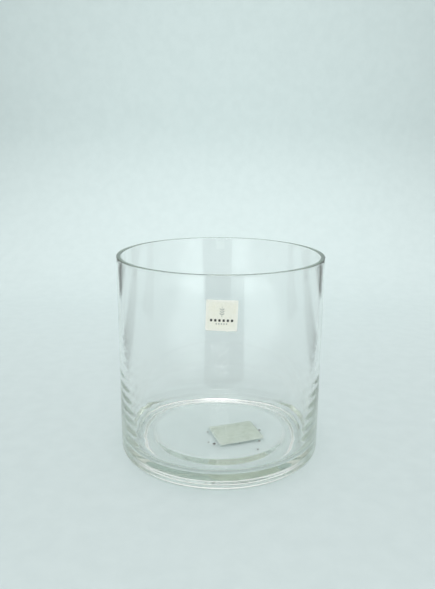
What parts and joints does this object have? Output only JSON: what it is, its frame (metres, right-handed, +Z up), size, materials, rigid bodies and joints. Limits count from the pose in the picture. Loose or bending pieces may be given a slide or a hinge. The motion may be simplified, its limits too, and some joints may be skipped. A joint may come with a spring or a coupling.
{
  "type": "glass cylinder vase",
  "caption": "Straight-sided clear glass cylinder vase with a thick floor, a shallow hollow under the base, a small square paper label on the wall and a paper label under the base.",
  "frame": {"origin": "centre of the plane that the foot ring stands on", "axes": "+Z up along the vase's axis, out of the mouth; -Y towards the wall label, +X to the right when facing it"},
  "size_m": [0.15, 0.1502, 0.148],
  "materials": {
    "clear_glass": "clear, polished",
    "label_adhesive": "clear dry film",
    "label_paper": "uncoated cream",
    "grey_ink": "printed",
    "black_ink": "printed",
    "base_label_paper": "uncoated, pale"
  },
  "bodies": {
    "root": {"glass_vessel": "clear_glass", "wall_label_adhesive": "label_adhesive", "wall_label_paper": "label_paper", "wall_label_grey_print": "grey_ink", "wall_label_black_print": "black_ink", "base_label_adhesive": "label_adhesive", "base_label_paper": "base_label_paper"}
  },
  "joints": []
}
